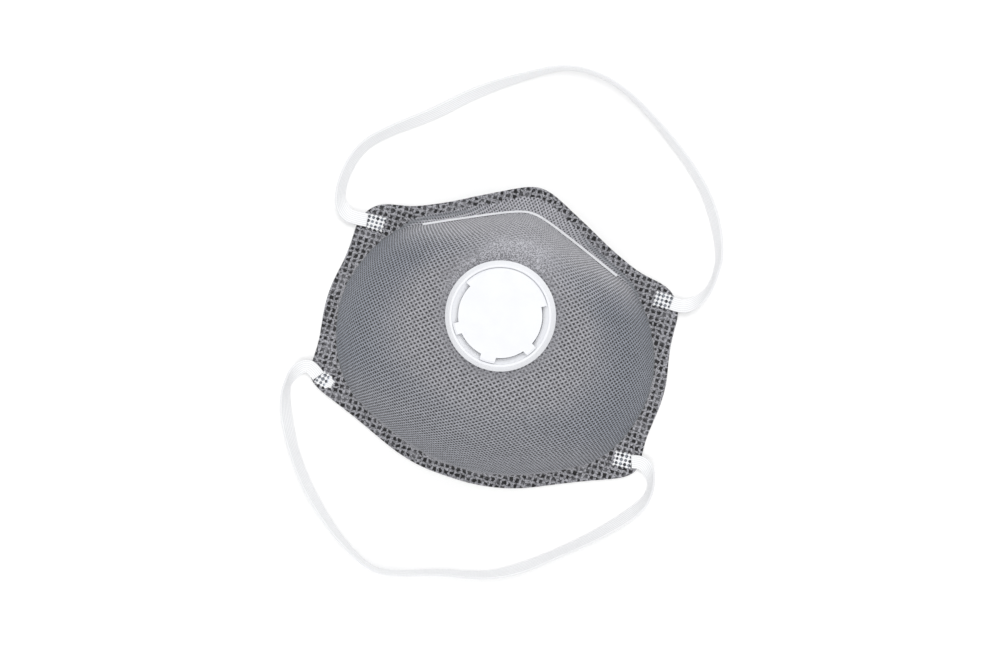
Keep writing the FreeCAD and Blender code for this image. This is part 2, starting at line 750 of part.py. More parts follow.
for node, left, route, right in (
        ("upper_headband", "strap_weld_upper_left", UPPER_ROUTE, "strap_weld_upper_right"),
        ("lower_headband", "strap_weld_lower_left", LOWER_ROUTE, "strap_weld_lower_right")):
    level = Vector(0, 0, size("band_foot") + size("band_width") / 2)
    route_points = [band_ends[left] + level]
    route_points += [Vector(x, y, 0) + level for x, y in route]
    route_points.append(band_ends[right] + level)
    path, radii = rounded_path(route_points)
    band = band_solid(path)
    add_shape(node, band)
    expected = size("band_width") * size("band_thickness") * path.Length
    print(node, "length", round(path.Length, 1), "radii", [round(r, 1) for r in radii],
          "volume over section times length", round(band.Volume / expected, 4))

# ------------------------------------------------------------------ checks and export

doc.recompute()
for item in doc.Objects:
    if "Invalid" in item.State or "Error" in item.State:
        raise RuntimeError(f"{item.Label} failed: {item.State}")
for node, piece in pieces.items():
    shape = piece.Shape
    if shape.isNull() or not shape.isValid() or not shape.Solids:
        raise RuntimeError(f"{node} has no valid solid")

os.makedirs("parts", exist_ok=True)
for node, piece in pieces.items():
    piece.Shape.exportStep(f"parts/{node}.step")
    box = piece.Shape.BoundBox
    print(f"{node}: {piece.Shape.Volume:.1f} mm3, z {box.ZMin:.2f} to {box.ZMax:.2f}")
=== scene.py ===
import math

import bmesh
import bpy
import numpy as np
from mathutils import Matrix, Vector
from mathutils.bvhtree import BVHTree


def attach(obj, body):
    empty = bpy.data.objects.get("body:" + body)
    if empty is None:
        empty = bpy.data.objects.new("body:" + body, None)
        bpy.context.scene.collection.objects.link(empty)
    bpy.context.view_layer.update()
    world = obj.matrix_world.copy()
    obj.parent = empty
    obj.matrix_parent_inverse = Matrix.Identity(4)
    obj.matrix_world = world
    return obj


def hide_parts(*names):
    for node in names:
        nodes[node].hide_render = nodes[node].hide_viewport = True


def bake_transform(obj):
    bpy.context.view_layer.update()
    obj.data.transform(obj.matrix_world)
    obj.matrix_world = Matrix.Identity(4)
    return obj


# Looks of a cup-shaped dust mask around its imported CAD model. Lengths are in metres, in the
# model's own frame: the mask lies on its flange, +Z out of the valve, +Y towards the nose.

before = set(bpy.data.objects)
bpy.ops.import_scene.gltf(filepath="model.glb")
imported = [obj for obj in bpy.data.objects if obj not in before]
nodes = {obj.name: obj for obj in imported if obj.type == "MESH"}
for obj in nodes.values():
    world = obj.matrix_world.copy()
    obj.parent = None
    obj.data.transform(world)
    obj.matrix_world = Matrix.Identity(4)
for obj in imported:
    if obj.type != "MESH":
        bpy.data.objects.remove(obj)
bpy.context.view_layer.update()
MM = 0.001
TURN = 2 * math.pi

# ------------------------------------------------------------------ camera, floor and light

CAMERA_AT = Vector((0.0141, 0.0104, 0.590))
CAMERA_AIM = Vector((0.0005, 0.0003, 0.0))
PICTURE_UP = Vector((-0.2807, 0.9598, 0.0))
LENS = 57.1
SENSOR_WIDTH = 36.0
LIGHT_AIM = (0, 0, 0.02)
LIGHT_SIDE = 1.0
WORLD_STRENGTH = 0.89

camera = bpy.data.objects.new("camera", bpy.data.cameras.new("camera"))
camera.data.sensor_width = SENSOR_WIDTH
camera.data.lens = LENS
back = (CAMERA_AT - CAMERA_AIM).normalized()
right = PICTURE_UP.cross(back).normalized()
camera.matrix_world = Matrix.Translation(CAMERA_AT) @ Matrix(
    (right, back.cross(right), back)).transposed().to_4x4()
bpy.context.scene.collection.objects.link(camera)
bpy.context.scene.camera = camera
bpy.context.scene.view_settings.view_transform = "Standard"


def area_light(name, at, power):
    """Square soft light that faces the mask."""
    light = bpy.data.lights.new(name, "AREA")
    light.shape = "SQUARE"
    light.size = LIGHT_SIDE
    light.energy = power
    holder = bpy.data.objects.new(name, light)
    holder.location = at
    holder.rotation_mode = "QUATERNION"
    holder.rotation_quaternion = (Vector(LIGHT_AIM) - Vector(at)).to_track_quat("-Z", "Y")
    bpy.context.scene.collection.objects.link(holder)


area_light("softbox_key", at=(0.05, 0.90, 1.20), power=6.9)
area_light("softbox_fill", at=(-0.05, -0.95, 1.10), power=4.8)

world = bpy.data.worlds.new("studio")
bpy.context.scene.world = world
world.use_nodes = True
world.node_tree.nodes["Background"].inputs["Color"].default_value = (1.0, 1.0, 1.0, 1.0)
world.node_tree.nodes["Background"].inputs["Strength"].default_value = WORLD_STRENGTH

# ------------------------------------------------------------------ node materials


class Graph:
    """Short ways to add shader nodes to one material."""

    def __init__(self, name, **constants):
        self.material = bpy.data.materials.new(name)
        self.material.use_nodes = True
        self.tree = self.material.node_tree
        self.shader = self.tree.nodes["Principled BSDF"]
        for socket, value in constants.items():
            self.shader.inputs[socket.replace("_", " ")].default_value = value
        self.place = self.tree.nodes.new("ShaderNodeTexCoord").outputs["Object"]

    def put(self, socket, value):
        if isinstance(value, bpy.types.NodeSocket):
            self.tree.links.new(value, socket)
        else:
            socket.default_value = value

    def math(self, operation, *values):
        """Result of a math node."""
        node = self.tree.nodes.new("ShaderNodeMath")
        node.operation = operation
        for socket, value in zip(node.inputs, values):
            self.put(socket, value)
        return node.outputs[0]

    def ramp(self, value, low, high, start=0.0, end=1.0):
        """Smooth step of a value, from start at low to end at high."""
        node = self.tree.nodes.new("ShaderNodeMapRange")
        node.interpolation_type = "SMOOTHSTEP"
        for socket, number in zip(node.inputs, (value, low, high, start, end)):
            self.put(socket, number)
        return node.outputs[0]

    def rest(self, share):
        """What is left of a share: 1 - share."""
        return self.math("SUBTRACT", 1.0, share)

    def mix(self, share, first, second, blend="MIX"):
        """Colour that goes from the first to the second as the share goes from 0 to 1."""
        node = self.tree.nodes.new("ShaderNodeMix")
        node.data_type = "RGBA"
        node.blend_type = blend
        self.put(node.inputs[0], share)
        self.put(node.inputs[6], first)
        self.put(node.inputs[7], second)
        return node.outputs[2]

    def tinted(self, share, base, tint):
        """A colour multiplied by a tint, as far as the share says."""
        return self.mix(share, base, tint, blend="MULTIPLY")

    def vector_math(self, operation, *values):
        """Result of a vector math node."""
        node = self.tree.nodes.new("ShaderNodeVectorMath")
        node.operation = operation
        for socket, value in zip(node.inputs, values):
            self.put(socket, value)
        return node.outputs[0]

    def noise_node(self, pitch, vector, detail):
        node = self.tree.nodes.new("ShaderNodeTexNoise")
        self.put(node.inputs["Vector"], vector)
        node.inputs["Scale"].default_value = 1 / pitch
        node.inputs["Detail"].default_value = detail
        return node

    def noise(self, pitch, detail=2.0, stretch=None):
        """Noise from 0 to 1 whose grains are about one pitch across, in metres."""
        source = self.vector_math("MULTIPLY", self.place, stretch) if stretch else self.place
        return self.noise_node(pitch, source, detail).outputs["Fac"]

    def centred_noise(self, pitch, amount):
        """Noise about zero: up to half the amount either way."""
        return self.math("MULTIPLY", self.math("SUBTRACT", self.noise(pitch), 0.5), amount)

    def strayed(self, vector, pitch, amount):
        """A vector moved about by noise: grains a pitch across, moved up to half the amount."""
        noise = self.noise_node(pitch, self.place, detail=1.0).outputs["Color"]
        centred = self.vector_math("ADD", vector, (-amount / 2,) * 3)
        return self.vector_math("MULTIPLY_ADD", noise, (amount,) * 3, centred)

    def cells(self, pitch):
        """Distance to the nearest of many scattered points, about one pitch apart."""
        node = self.tree.nodes.new("ShaderNodeTexVoronoi")
        self.put(node.inputs["Vector"], self.place)
        node.inputs["Scale"].default_value = 1 / pitch
        return node.outputs["Distance"]

    def attribute(self, name):
        node = self.tree.nodes.new("ShaderNodeAttribute")
        node.attribute_name = name
        return node

    def parts(self, vector):
        node = self.tree.nodes.new("ShaderNodeSeparateXYZ")
        self.put(node.inputs[0], vector)
        return node.outputs

    def colour(self, value):
        self.put(self.shader.inputs["Base Color"], value)

    def bump(self, height, distance, strength=1.0):
        """Relief under the surface, on top of any relief that is already there."""
        node = self.tree.nodes.new("ShaderNodeBump")
        node.inputs["Strength"].default_value = strength
        node.inputs["Distance"].default_value = distance
        self.put(node.inputs["Height"], height)
        normal = self.shader.inputs["Normal"]
        if normal.is_linked:
            self.put(node.inputs["Normal"], normal.links[0].from_socket)
        self.put(normal, node.outputs["Normal"])


def grey(level, tint=(1.0, 1.0, 1.0)):
    return tuple(level * t for t in tint) + (1.0,)


# Bond points of the cover web, in a centred lattice, and the square net of the welding anvil.
# Pitches are in millimetres. Both have the same form: a lesser of two cosines that is 1 in the
# middle of a dark point and -1 on the light threads between the points.
BOND_ACROSS = 2.19
BOND_ALONG = 1.76
ANVIL_PITCH = 2.19

# Tints of the grey web: as it is, and a bluish one for the painted shade on the cup's steep walls.
COOL = (0.99, 0.99, 1.07)
STEEP = (0.91, 0.985, 1.08)

# Greys of the cover web, each from its dark fibres to its light ones.
WEB_GREYS = (grey(0.090, COOL), grey(0.215, COOL))
THREAD_GREYS = (grey(0.215, COOL), grey(0.430, COOL))
FUZZ_AND_HIGHLIGHT_GREYS = (grey(0.100, COOL), grey(0.420, COOL))
# Painted shade at the foot of the side walls; painted light at the foot of the chin.
SIDE_FOOT_SHADE_GREYS = (grey(0.120, STEEP), grey(0.200, STEEP))
CHIN_FOOT_LIGHT_GREYS = (grey(0.190, COOL), grey(0.340, COOL))
NET_GREYS = (grey(0.150, COOL), grey(0.470, COOL))
CLOUD_GREY = grey(0.36, COOL)
BOND_BLACK = grey(0.008, COOL)
PIT_BLACK = grey(0.013, COOL)
# Painted light on the nose side of the cup.
NOSE_PAINTED_LIGHT = grey(1.33)
# Painted shade on the steep walls of the cup.
WALL_PAINTED_SHADE = grey(0.75, STEEP)

# Where the painted light on the nose side begins and is full, and where the walls' painted shade is
# lessened towards the chin, along Y.
NOSE_FROM, NOSE_TO = 17 * MM, 34 * MM
CHIN_FROM, CHIN_TO = -20 * MM, -36 * MM


def bond_points(g, cloth):
    """Value of the bond points' lattice over the web's own coordinates."""
    place = g.parts(cloth)
    u = g.math("DIVIDE", place[0], BOND_ACROSS)
    v = g.math("DIVIDE", place[1], BOND_ALONG)
    return g.math("MINIMUM",
                  g.math("COSINE", g.math("MULTIPLY", g.math("ADD", u, v), TURN)),
                  g.math("COSINE", g.math("MULTIPLY", g.math("SUBTRACT", u, v), TURN)))


def anvil_points(g, plan):
    """Value of the welding anvil's square net over the flange."""
    place = g.parts(plan)
    return g.math("MINIMUM",
                  g.math("COSINE", g.math("MULTIPLY", place[0], TURN / (ANVIL_PITCH * MM))),
                  g.math("COSINE", g.math("MULTIPLY", place[1], TURN / (ANVIL_PITCH * MM))))


def bonded_web(g, cloth, fibre, fuzz_and_highlight, slope, nose):
    """Colour of the cup's web, and how much of it is bond point."""
    bonds = bond_points(g, g.strayed(cloth, 1.8 * MM, 0.42))
    swollen = g.math("ADD", g.centred_noise(1.2 * MM, 0.8), g.ramp(slope, 0.15, 0.50, 0.0, 0.60))
    dots = g.math("MULTIPLY", g.ramp(g.math("ADD", bonds, swollen), 0.18, 0.62), g.rest(fuzz_and_highlight))
    threads = g.math("MULTIPLY", g.ramp(bonds, -0.40, -0.92),
                     g.rest(g.math("MULTIPLY", fuzz_and_highlight, 0.8)))
    web = g.mix(g.ramp(fibre, 0.30, 0.70), *WEB_GREYS)
    web = g.mix(threads, web, g.mix(g.ramp(fibre, 0.25, 0.75), *THREAD_GREYS))
    mottled = g.mix(g.ramp(g.noise(0.42 * MM, detail=3.0), 0.38, 0.62), *FUZZ_AND_HIGHLIGHT_GREYS)
    # Fuzz where the bond points are rubbed away, and the painted highlight round the valve.
    web = g.mix(g.math("MULTIPLY", fuzz_and_highlight, 0.9), web, mottled)
    web = g.mix(g.ramp(g.noise(9 * MM, detail=3.0), 0.35, 0.75, 0.0, 0.12), web, CLOUD_GREY)
    # Painted light on the nose side: the bond points are drawn less dark there.
    pressed = g.math("MULTIPLY", dots, g.math("SUBTRACT", 0.95, g.math("MULTIPLY", nose, 0.12)))
    return g.mix(pressed, web, BOND_BLACK), dots


def shaded_cup(g, web, fibre, slope, nose):
    """The web's colour with painted light and shade: lighter at the nose, darker on the walls and at
    the foot of the side walls, lighter at the foot of the chin.
    """
    chin = g.ramp(g.parts(g.place)[1], CHIN_FROM, CHIN_TO, 0.0, 0.55)
    # Painted shade on the steep walls, left off at the nose and lessened towards the chin.
    steep = g.math("MULTIPLY", g.ramp(slope, 0.03, 0.52, 0.0, 0.95), g.rest(nose))
    steep = g.math("MULTIPLY", steep, g.rest(chin))
    side_foot, chin_foot, _ = g.parts(g.attribute("feet").outputs["Vector"])
    # Painted light on the nose side.
    cup = g.tinted(nose, web, NOSE_PAINTED_LIGHT)
    cup = g.tinted(steep, cup, WALL_PAINTED_SHADE)
    # Painted shade along the foot of the side walls, and painted light along the foot of the chin.
    cup = g.mix(g.math("MULTIPLY", side_foot, 0.75), cup, g.mix(fibre, *SIDE_FOOT_SHADE_GREYS))
    return g.mix(g.math("MULTIPLY", chin_foot, 0.65), cup, g.mix(fibre, *CHIN_FOOT_LIGHT_GREYS))


def anvil_pits(g, cloth):
    """How much of the flange is a pit of the anvil's net, with the web's own points in it."""
    plan = g.strayed(g.place, 1.6 * MM, 1.5 * MM)
    broken = g.centred_noise(0.9 * MM, 1.3)
    pits = g.ramp(g.math("ADD", anvil_points(g, plan), broken), -0.58, -0.08)
    ragged_bonds = bond_points(g, g.strayed(cloth, 1.2 * MM, 0.9))
    pits = g.math("MAXIMUM", pits, g.ramp(ragged_bonds, 0.25, 0.80, 0.0, 0.85))
    return g.math("MULTIPLY", pits, g.ramp(g.noise(2.6 * MM), 0.34, 0.56, 0.66, 1.0))


def cover_material():
    """Grey point-bonded web, with a patch above the valve where the bond points are rubbed away, and
    a stamped flange; painted light on the nose side, round the valve and at the chin's foot, painted
    shade on the walls and at the side walls' foot.
    """
    g = Graph("cover_web_point_bonded", Roughness=0.92, Sheen_Weight=0.12)
    edge, fuzz_and_highlight, slope = g.parts(g.attribute("zones").outputs["Vector"])
    flange = g.ramp(g.math("ADD", edge, g.centred_noise(2.0 * MM, 1.5)), 0.35, 0.60)
    cloth = g.attribute("cloth").outputs["Vector"]
    fibre = g.noise(0.55 * MM, detail=4.0)
    # How far towards the nose, for the painted light on that side.
    nose = g.ramp(g.parts(g.place)[1], NOSE_FROM, NOSE_TO)
    web, dots = bonded_web(g, cloth, fibre, fuzz_and_highlight, slope, nose)
    cup = shaded_cup(g, web, fibre, slope, nose)
    pits = anvil_pits(g, cloth)
    net = g.mix(g.ramp(fibre, 0.30, 0.75), *NET_GREYS)
    g.colour(g.mix(flange, cup, g.mix(pits, net, PIT_BLACK)))
    g.bump(g.math("SUBTRACT", fibre, g.math("MULTIPLY", dots, 0.8)), 0.12 * MM, 0.7)
    g.bump(g.math("MULTIPLY", g.rest(pits), flange), 0.15 * MM, 0.6)
    return g.material


LINER_PITCH = 1.9 * MM


def web_material(name, dark, light, dotted=0.0):
    """Nonwoven web: fibres, cloudiness and, on a spunbond web, faint bond dots."""
    g = Graph(name, Roughness=0.95, Sheen_Weight=0.1)
    fibre = g.noise(0.4 * MM, detail=4.0)
    cloudy = g.noise(6 * MM, detail=3.0)
    blend = g.math("ADD", g.math("MULTIPLY", fibre, 0.6), g.math("MULTIPLY", cloudy, 0.4))
    tone = g.mix(g.ramp(blend, 0.3, 0.7), dark, light)
    height = fibre
    if dotted:
        plan = g.parts(g.place)
        waves = [g.math("COSINE", g.math("MULTIPLY", way, TURN / LINER_PITCH)) for way in plan[:2]]
        dots = g.ramp(g.math("MULTIPLY", *waves), 0.4, 0.9)
        tone = g.mix(g.math("MULTIPLY", dots, dotted), tone, dark)
        height = g.math("SUBTRACT", fibre, dots)
    g.colour(tone)
    g.bump(height, 0.12 * MM, 0.7)
    return g.material


def plastic_material(name, low, high, roughness):
    """Moulded plastic: slow flow marks in its tone and a fine skin texture."""
    g = Graph(name, Roughness=roughness, Specular_IOR_Level=0.45, Subsurface_Weight=0.15,
              Subsurface_Scale=0.001, Subsurface_Radius=(1.0, 1.0, 1.0))
    flow = g.noise(7 * MM, detail=3.0)
    skin = g.noise(0.25 * MM, detail=2.0)
    g.colour(g.mix(g.ramp(flow, 0.3, 0.7), low, high))
    g.put(g.shader.inputs["Roughness"], g.ramp(skin, 0.2, 0.8, roughness - 0.06, roughness + 0.08))
    g.bump(skin, 0.02 * MM, 0.5)
    g.bump(flow, 0.02 * MM, 0.3)
    return g.material


CLIP_TINT = (0.98, 0.99, 1.02)


def clip_material():
    """Extruded strip, with die marks along it."""
    g = Graph("clip_extruded_plastic", Roughness=0.38)
    drawn = g.noise(0.5 * MM, detail=3.0, stretch=(0.08, 0.6, 1.0))
    g.colour(g.mix(g.ramp(drawn, 0.3, 0.7), grey(0.86, CLIP_TINT), grey(0.95, CLIP_TINT)))
    g.bump(drawn, 0.04 * MM, 0.6)
    return g.material


def wire_material():
    g = Graph("clip_wire_steel", Metallic=1.0, Roughness=0.35)
    drawn = g.noise(0.2 * MM, detail=3.0, stretch=(0.05, 1.0, 1.0))
    g.colour(g.mix(drawn, grey(0.42), grey(0.62)))
    g.bump(drawn, 0.01 * MM)
    return g.material


def foam_material():
    g = Graph("nose_foam_open_cell", Roughness=0.95)
    pores = g.cells(0.9 * MM)
    small = g.cells(0.45 * MM)
    depth = g.math("MINIMUM", pores, g.math("MULTIPLY", small, 1.6))
    # Painted shade: darker down in the pores.
    g.colour(g.mix(g.ramp(depth, 0.0, 0.5), grey(0.020), grey(0.085, COOL)))
    g.bump(depth, 0.35 * MM, 0.9)
    return g.material


def rubber_material():
    g = Graph("diaphragm_silicone", Roughness=0.45, Subsurface_Weight=0.3,
              Subsurface_Scale=0.001)
    cloudy = g.noise(3 * MM, detail=2.0)
    g.colour(g.mix(cloudy, grey(0.55, (1.0, 0.98, 0.94)), grey(0.70, (1.0, 0.99, 0.96))))
    g.bump(g.noise(0.3 * MM), 0.015 * MM)
    return g.material


# Pitches of the tape's knit in millimetres, and its greys from between its threads to their tops, as
# painted shade in the grooves between the threads.
RIB_PITCH = 0.714
STITCH_PITCH = 0.55
TAPE_GREYS = (grey(0.72, (0.99, 1.0, 1.02)), grey(0.90, (0.995, 1.0, 1.01)))


def elastic_material():
    """Knitted tape, with the web below it in the pits of a stamped end."""
    g = Graph("elastic_tape", Roughness=0.80, Sheen_Weight=0.25)
    tape = g.parts(g.attribute("tape").outputs["Vector"])
    stitch = g.math("SINE", g.math("MULTIPLY", tape[0], TURN / STITCH_PITCH))
    thread = g.math("COSINE", g.math("MULTIPLY", tape[1], TURN / RIB_PITCH))
    fibre = g.noise(0.3 * MM, detail=3.0)
    knit = g.math("ADD", g.math("MULTIPLY", stitch, 0.12), g.math("MULTIPLY", thread, 0.5))
    relief = g.math("ADD", knit, g.math("MULTIPLY", fibre, 0.7))
    # Painted shade between the threads, mixed with the fibres' own random tone.
    tone = g.mix(g.ramp(relief, -0.4, 0.9), *TAPE_GREYS)
    pit = g.attribute("pit").outputs["Fac"]
    web_below = g.mix(g.ramp(g.noise(1.6 * MM), 0.40, 0.65), grey(0.030, COOL), grey(0.30, STEEP))
    tone = g.mix(g.ramp(pit, 0.0, 0.30, 0.0, 0.8), tone, grey(0.62, (0.90, 0.97, 1.12)))
    tone = g.mix(g.ramp(pit, 0.35, 0.75), tone, web_below)
    g.colour(tone)
    g.bump(relief, 0.06 * MM, 0.6)
    return g.material


def floor_material():
    g = Graph("studio_floor", Roughness=0.9)
    g.colour(g.mix(g.noise(0.4, detail=1.0), grey(0.93), grey(0.95)))
    return g.material


COVER = cover_material()
ELASTIC = elastic_material()
VALVE = plastic_material("valve_polypropylene", grey(0.782, (0.975, 0.985, 1.03)),
                         grey(0.804, (0.975, 0.988, 1.02)), 0.38)
finishes = {
    "carbon_web": web_material("carbon_web_fibres", grey(0.012), grey(0.05)),
    "filter_web_outer": web_material("filter_web_fibres", grey(0.60), grey(0.80)),
    "filter_web_inner": web_material("filter_web_fibres_inner", grey(0.60), grey(0.80)),
    "support_shell": web_material("support_shell_felt", grey(0.48), grey(0.70)),
    "inner_liner": web_material("inner_liner_spunbond", grey(0.58), grey(0.80), dotted=0.7),
    "nose_clip_strip": clip_material(),
    "nose_clip_wires": wire_material(),
    "valve_body": VALVE,
    "valve_clamp_ring": VALVE,
    "valve_cap": VALVE,
}
for node, finish in finishes.items():
    nodes[node].data.materials.clear()
    nodes[node].data.materials.append(finish)

FLOOR_HALF = 4.0
FLOOR_LEVEL = -0.05 * MM

floor_mesh = bpy.data.meshes.new("floor")
floor_mesh.from_pydata(
    [(x * FLOOR_HALF, y * FLOOR_HALF, FLOOR_LEVEL) for x, y in ((-1, -1), (1, -1), (1, 1), (-1, 1))],
    [], [(0, 1, 2, 3)])
floor_mesh.materials.append(floor_material())
floor = bpy.data.objects.new("floor", floor_mesh)
bpy.context.scene.collection.objects.link(floor)

# ------------------------------------------------------------------ mesh helpers


def new_piece(name, vertices, faces, material, body="mask", flat_faces=0):
    """Smooth mesh piece that rides on a body; its last faces may be flat ends."""
    mesh = bpy.data.meshes.new(name)
    mesh.from_pydata(vertices.tolist(), [], faces if isinstance(faces, list) else faces.tolist())
    smooth = [True] * (len(mesh.polygons) - flat_faces) + [False] * flat_faces
    mesh.polygons.foreach_set("use_smooth", smooth)
    mesh.materials.append(material)
    piece = bpy.data.objects.new(name, mesh)
    bpy.context.scene.collection.objects.link(piece)
    if body:
        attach(piece, body)
    return piece


def vector_attribute(piece, name, values):
    """Vector at each vertex, for the materials."""
    made = piece.data.attributes.new(name, "FLOAT_VECTOR", "POINT")
    made.data.foreach_set("vector", np.asarray(values, np.float32).ravel())


def float_attribute(piece, name, values):
    """Number at each vertex, for the materials."""
    made = piece.data.attributes.new(name, "FLOAT", "POINT")
    made.data.foreach_set("value", np.asarray(values, np.float32).ravel())


def grid_faces(rows, columns, closed):
    """Quads of a grid of rows by columns; closed joins the last column to the first."""
    row = np.arange(rows - 1)[:, None] * columns
    column = np.arange(columns if closed else columns - 1)[None, :]
    after = (column + 1) % columns
    quads = np.stack([row + column, row + after, row + columns + after, row + columns + column], -1)
    return quads.reshape(-1, 4)


def blurred(values, width, axis, closed):
    """Values smoothed along one axis of an array by a bell of that many samples."""
    reach = int(3 * width)
    bell = np.exp(-0.5 * (np.arange(-reach, reach + 1) / width) ** 2)
    bell /= bell.sum()
    padding = [(0, 0)] * values.ndim
    padding[axis] = (reach, reach)
    padded = np.pad(values, padding, mode="wrap" if closed else "edge")
    return np.apply_along_axis(lambda line: np.convolve(line, bell, mode="valid"), axis, padded)


def smooth_step(values, low, high):
    """Smooth step of an array, from 0 at low to 1 at high."""
    share = np.clip((values - low) / (high - low), 0, 1)
    return share * share * (3 - 2 * share)


# ------------------------------------------------------------------ headbands

BAND_WIDTH = 5.0 * MM
BAND_THICKNESS = 0.9 * MM
BAND_THREADS = 7
STEPS_PER_THREAD = 5
THREAD_RELIEF = 0.20
ROUNDED_EDGE = 0.1
LOWEST = 0.03 * MM
ROLL_BLUR = 7.0
ROLL_EASE = 20.0

# Inside these reaches along X and Y, in millimetres, the tape lies over a tab and not on the
# table, and its middle is at least at the tail's level.
TAB_REACH_X = 67.5
TAB_REACH_Y = 36.0
TAIL_LEVEL = 1.77 * MM

# The bands' routes in millimetres, from the left weld to the right one, with how far the tape
# is rolled from lying flat, in degrees.
UPPER_ENDS = ((-58.6, 26.9), (58.2, 28.9))
UPPER_ROUTE = [
    (-62.9, 26.4, 0), (-67.2, 26.9, 8), (-71.2, 31.9, 55), (-71.4, 42.5, 57), (-68.0, 53.2, 56),
    (-59.3, 61.6, 56), (-46.0, 71.5, 40), (-33.0, 84.0, 45), (-18.0, 94.0, 66), (-4.0, 102.2, 84),
    (10.0, 102.8, 88), (24.0, 98.0, 84), (42.0, 86.3, 66), (55.8, 75.3, 64), (64.7, 64.0, 54),
    (70.7, 51.0, 70), (71.0, 42.4, 80), (69.8, 36.2, 68), (66.6, 31.2, 34), (62.4, 28.5, 6),
]
LOWER_ENDS = ((-59.9, -33.9), (60.6, -31.6))
LOWER_ROUTE = [
    (-62.3, -31.9, 0), (-65.5, -31.1, -6), (-68.7, -34.4, -34), (-70.3, -39.0, -74),
    (-70.0, -44.4, -60), (-66.8, -53.0, -40), (-61.0, -63.5, -56), (-53.0, -74.0, -54),
    (-44.0, -82.7, -64), (-33.5, -91.0, -78), (-20.3, -97.8, -86), (-9.0, -95.6, -80),
    (3.0, -91.2, -76), (20.0, -88.0, -68), (32.0, -81.8, -50), (43.5, -72.4, -62),
    (56.0, -61.5, -52), (64.8, -52.0, -40), (69.2, -45.5, -56), (70.4, -40.2, -74),
    (69.6, -35.8, -64), (67.0, -32.2, -22), (63.7, -30.5, 0),
]


def rolled_height(roll):
    """Height of the tape's middle when its lower edge is on the table."""
    turn = math.radians(roll)
    return (BAND_WIDTH * abs(math.sin(turn)) + BAND_THICKNESS * abs(math.cos(turn))) / 2


def tape_level(x, y, roll):
    """Height of the tape's middle at a place in millimetres: on the table, or above a tab."""
    over_tab = abs(x) < TAB_REACH_X and abs(y) < TAB_REACH_Y
    return max(rolled_height(roll), TAIL_LEVEL if over_tab else 0)


def nurbs_line(name, controls):
    """Points along a smooth curve that is drawn by control points."""
    curve = bpy.data.curves.new(name, "CURVE")
    curve.dimensions = "3D"
    curve.resolution_u = 24
    spline = curve.splines.new("NURBS")
    spline.points.add(len(controls) - 1)
    for point, place in zip(spline.points, controls):
        point.co = (*place, 1.0)
    spline.order_u = 3
    spline.use_endpoint_u = True
    holder = bpy.data.objects.new(name, curve)
    bpy.context.scene.collection.objects.link(holder)
    line = bpy.data.meshes.new_from_object(holder)
    points = np.array([vertex.co for vertex in line.vertices])
    bpy.data.objects.remove(holder)
    bpy.data.meshes.remove(line)
    return points


def route_line(name, ends, route):
    """The band's smooth line: points in order, and the roll at each of them."""
    controls = [(*ends[0], TAIL_LEVEL)]
    controls += [(x, y, tape_level(x, y, roll)) for x, y, roll in route]
    controls.append((*ends[1], TAIL_LEVEL))
    controls = [(x * MM, y * MM, level) for x, y, level in controls]
    rolls = np.array([0.0, *(roll for _, _, roll in route), 0.0])
    points = nurbs_line(name, controls)
    near = [int(np.argmin(np.linalg.norm(points[:, :2] - np.array(place[:2]), axis=1)))
            for place in controls]
    near[0], near[-1] = 0, len(points) - 1
    steps = np.arange(len(points))
    smooth = blurred(np.interp(steps, near, rolls), ROLL_BLUR, 0, False)
    ease = np.minimum(steps, steps[::-1]) / ROLL_EASE
    return points, np.radians(smooth * np.clip(ease, 0, 1))


def tape_section():
    """Closed outline of the tape's section, each point as its place across and through it."""
    count = BAND_THREADS * STEPS_PER_THREAD
    share = np.linspace(-1, 1, count + 1)
    half = BAND_WIDTH / 2
    threads = np.abs(np.cos(share * BAND_THREADS * math.pi / 2))
    to_edge = np.clip((np.abs(share) - (1 - ROUNDED_EDGE)) / ROUNDED_EDGE, 0, 1)
    edge = np.sqrt(np.clip(1 - to_edge ** 2, 0.04, 1))
    through = (BAND_THICKNESS / 2) * (1 - THREAD_RELIEF + THREAD_RELIEF * threads) * edge
    top = np.stack([share * half, through], 1)
    return np.concatenate([top, top[::-1] * (1, -1)])


def tape_mesh(points, rolls):
    """Vertices, faces and tape coordinates (millimetres along and across) of a ribbed tape."""
    section = tape_section()
    ahead = np.gradient(points, axis=0)
    ahead /= np.linalg.norm(ahead, axis=1)[:, None]
    side = np.cross((0, 0, 1), ahead)
    side /= np.linalg.norm(side, axis=1)[:, None]
    up = np.cross(ahead, side)
    across = side * np.cos(rolls)[:, None] + up * np.sin(rolls)[:, None]
    through = up * np.cos(rolls)[:, None] - side * np.sin(rolls)[:, None]
    vertices = (points[:, None] + across[:, None] * section[None, :, :1]
                + through[:, None] * section[None, :, 1:])
    run = np.concatenate([[0], np.cumsum(np.linalg.norm(np.diff(points, axis=0), axis=1))])
    tape = np.zeros_like(vertices)
    tape[:, :, 0] = run[:, None] / MM
    tape[:, :, 1] = section[None, :, 0] / MM
    vertices = vertices.reshape(-1, 3)
    vertices[:, 2] = np.maximum(vertices[:, 2], LOWEST)
    faces = grid_faces(len(points), len(section), True).tolist()
    last = (len(points) - 1) * len(section)
    faces.append(list(range(len(section)))[::-1])
    faces.append([last + index for index in range(len(section))])
    return vertices, faces, tape.reshape(-1, 3)


for name, ends, route in (("upper_tape", UPPER_ENDS, UPPER_ROUTE),
                          ("lower_tape", LOWER_ENDS, LOWER_ROUTE)):
    points, rolls = route_line(name + "_line", ends, route)
    vertices, faces, tape = tape_mesh(points, rolls)
    band = new_piece(name, vertices, faces, ELASTIC, flat_faces=2)
    vector_attribute(band, "tape", tape)
    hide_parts(name.replace("tape", "headband"))

# ------------------------------------------------------------------ stamped band ends

